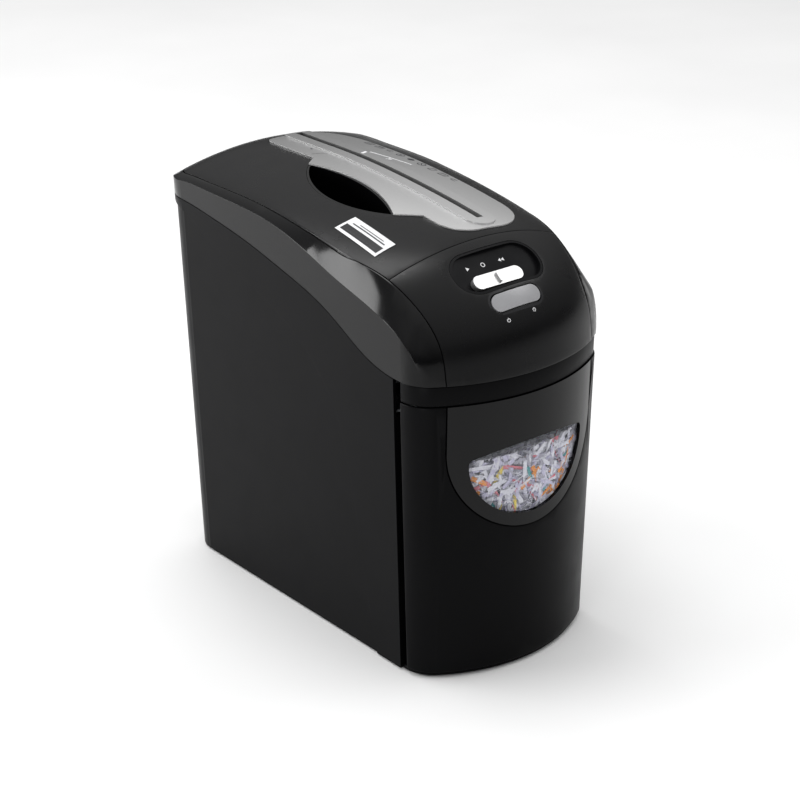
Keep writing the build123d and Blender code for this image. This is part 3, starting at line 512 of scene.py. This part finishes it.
def makePaper(values):
    rng = random.Random(values["seed"])
    low, high = (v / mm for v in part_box("shredded_paper"))
    wall = treeOf("bin_tub", "window_pane", "window_shield", "bin_panel")
    tones = list(paperTones)
    shares = [paperTones[t][1] for t in tones]
    vertices, faces, marks = [], [], []

    def strip(centre, tone):
        length, width = rng.uniform(*values["length"]), rng.uniform(*values["width"])
        turn = Matrix.Rotation(rng.uniform(0, math.tau), 3, "Z")
        turn = turn @ Matrix.Rotation(rng.uniform(-1.2, 1.2), 3, "X")
        turn = Matrix.Rotation(rng.gauss(0, 0.5) + math.pi / 2, 3, "X") @ turn
        curl, twist = rng.gauss(0, values["curl"]), rng.gauss(0, 0.8)
        count = 6
        start = len(vertices)
        for n in range(count + 1):
            t = n / count - 0.5
            bend = curl * t
            spine = Vector((length * t, 0, length * 0.25 * curl * t * t))
            side = Vector((0, math.cos(twist * t), math.sin(twist * t + bend * 0.2))) * width / 2
            for point in (spine + side, spine - side):
                spot = centre + turn @ point
                spot.x = min(max(spot.x, low.x + 0.5), high.x - 0.5)
                spot.z = min(max(spot.z, low.z + 0.5), high.z + 3)
                hit = wall.ray_cast(Vector((spot.x, -100, spot.z)) * mm, Vector((0, -1, 0)))[0]
                nearest = (hit.y / mm if hit else low.y) + 0.35
                spot.y = max(spot.y, nearest)
                vertices.append(spot * mm)
        for n in range(count):
            a = start + 2 * n
            faces.append((a, a + 1, a + 3, a + 2))
            marks.append(tone)

    for n in range(values["front"]):
        x, z = rng.uniform(-60, 60), rng.uniform(116, high.z + 1)
        hit = wall.ray_cast(Vector((x, -100, z)) * mm, Vector((0, -1, 0)))[0]
        near = (hit.y / mm if hit else low.y) + 0.6
        depth = values["depth"] * rng.random() ** 1.6
        tone = rng.choices(range(len(tones)), shares)[0]
        if x > 8 and z < 150 and rng.random() < 0.16:  # a few bright scraps low on the right
            tone = rng.choice((3, 4, 5, 6))
        strip(Vector((x, near + depth, z)), tone)
    for n in range(values["heap"]):
        x = rng.uniform(low.x + 4, high.x - 4)
        if rng.random() < 0.6:
            y, z = rng.uniform(-150, -74), high.z - 1 - rng.random() * 5
        else:
            t = rng.random()
            y, z = -72 + 50 * t, 170 - 165 * t
        strip(Vector((x, y, max(z, low.z + 3))), rng.choices(range(len(tones)), shares)[0])
    mesh = bpy.data.meshes.new("cut_paper")
    mesh.from_pydata(vertices, [], faces)
    for tone in tones:
        mesh.materials.append(paperMats[tone])
    mesh.polygons.foreach_set("material_index", marks)
    obj = bpy.data.objects.new("cut_paper", mesh)
    bpy.context.scene.collection.objects.link(obj)
    solid = obj.modifiers.new("thickness", "SOLIDIFY")
    solid.thickness = 0.1 * mm
    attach(obj, "bin")

    # the imported core under the loose strips: the CAD heap, drawn in a little
    core = bpy.data.objects.new("paper_core", nodes["shredded_paper"].data.copy())
    bpy.context.scene.collection.objects.link(core)
    middle = (low + high) / 2 * mm
    for vertex in core.data.vertices:
        vertex.co = middle + (vertex.co - middle) * 0.93
    core.data.materials.clear()
    core.data.materials.append(paperMats["lavender"])
    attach(core, "bin")
    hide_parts("shredded_paper")


makePaper(paper)
print("paper heap made")


# camera, light and floor

camera = dict(place=(-0.9609, -1.2144, 0.8332), turn=-40.03, down=24.2, lens=96.79,
              shift=(-0.05702, 0.02981))


def makeCamera(values):
    data = bpy.data.cameras.new("viewCamera")
    data.lens = values["lens"]
    data.sensor_width = 36.0
    data.shift_x, data.shift_y = values["shift"]
    obj = bpy.data.objects.new("viewCamera", data)
    bpy.context.scene.collection.objects.link(obj)
    obj.location = values["place"]
    obj.rotation_euler = (math.radians(90 - values["down"]), 0, math.radians(values["turn"]))
    bpy.context.scene.camera = obj


lamps = {
    # name: place, aims at, width, height, power
    "overhead": ((-0.1, 0.5, 1.9), (0.0, 0.1, 0.3), 0.9, 0.9, 9.0),
    "consoleSoft": ((1.1, -0.55, 1.65), (0.0, -0.13, 0.29), 0.75, 0.6, 4.0),
    "leftBack": ((-1.75, 1.5, 0.62), (0.0, 0.0, 0.3), 1.6, 1.0, 34.0),
    "leftFront": ((-1.7, -1.0, 0.35), (0.0, 0.0, 0.12), 0.35, 0.6, 5.0),
}


def makeLamp(name, place, target, width, height, power):
    data = bpy.data.lights.new(name, "AREA")
    data.shape = "RECTANGLE"
    data.size, data.size_y = width, height
    data.energy = power
    obj = bpy.data.objects.new(name, data)
    bpy.context.scene.collection.objects.link(obj)
    obj.location = place
    obj.rotation_euler = (Vector(target) - Vector(place)).to_track_quat("-Z", "Y").to_euler()


def makeFloor():
    mesh = bpy.data.meshes.new("floor")
    size = 14.0
    corners = [(-size, -size, 0), (size, -size, 0), (size, size, 0), (-size, size, 0)]
    mesh.from_pydata(corners, [], [(0, 1, 2, 3)])
    floor = bpy.data.objects.new("floor", mesh)
    bpy.context.scene.collection.objects.link(floor)
    material, tree, shader = newMaterial("paleFloor")
    tree.links.new(ramp(tree, noise(tree, 3, 3), [(0.3, (0.84, 0.84, 0.84)), (0.7, (0.88, 0.88, 0.88))]),
                   shader.inputs["Base Color"])
    shader.inputs["Roughness"].default_value = 0.7
    mesh.materials.append(material)


sky = dict(low=0.12, high=1.0, strength=1.0)


def makeSky(values):
    world = bpy.data.worlds.new("studio")
    bpy.context.scene.world = world
    world.use_nodes = True
    tree = world.node_tree
    split = addNode(tree, "ShaderNodeSeparateXYZ")
    tree.links.new(addNode(tree, "ShaderNodeTexCoord").outputs["Generated"], split.inputs[0])
    low, high = values["low"], values["high"]
    colour = ramp(tree, split.outputs[2], [(0.1, (low, low, low)), (0.9, (high, high, high))])
    background = tree.nodes["Background"]
    tree.links.new(colour, background.inputs[0])
    background.inputs[1].default_value = values["strength"]


makeSky(sky)
bpy.context.scene.view_settings.view_transform = "Standard"
bpy.context.scene.view_settings.look = "Medium High Contrast"
makeCamera(camera)
for name, values in lamps.items():
    makeLamp(name, *values)
makeFloor()
print("camera and light set")
